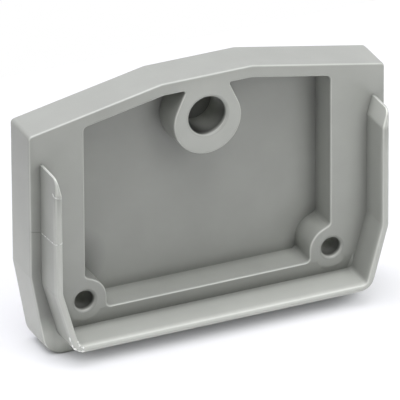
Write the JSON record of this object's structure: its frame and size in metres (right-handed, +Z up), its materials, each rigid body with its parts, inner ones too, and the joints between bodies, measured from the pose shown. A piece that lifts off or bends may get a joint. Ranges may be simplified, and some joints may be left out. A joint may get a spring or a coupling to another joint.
{
  "type": "terminal block end cover",
  "caption": "Moulded end cover for terminal blocks: a shallow pocketed plate with a peaked top edge, blind round sockets and a raised lip around its lower sides and base.",
  "frame": {"origin": "middle of the cover's box at its base edge, on the surface that it stands on", "axes": "+X across the width, +Y from the open side towards the closed back, +Z up towards the peaked edge"},
  "size_m": [0.0336, 0.0072, 0.0239],
  "materials": {
    "grey_plastic": "fine matte moulded surface"
  },
  "bodies": {
    "root": {"end_cover": "grey_plastic"}
  },
  "joints": []
}
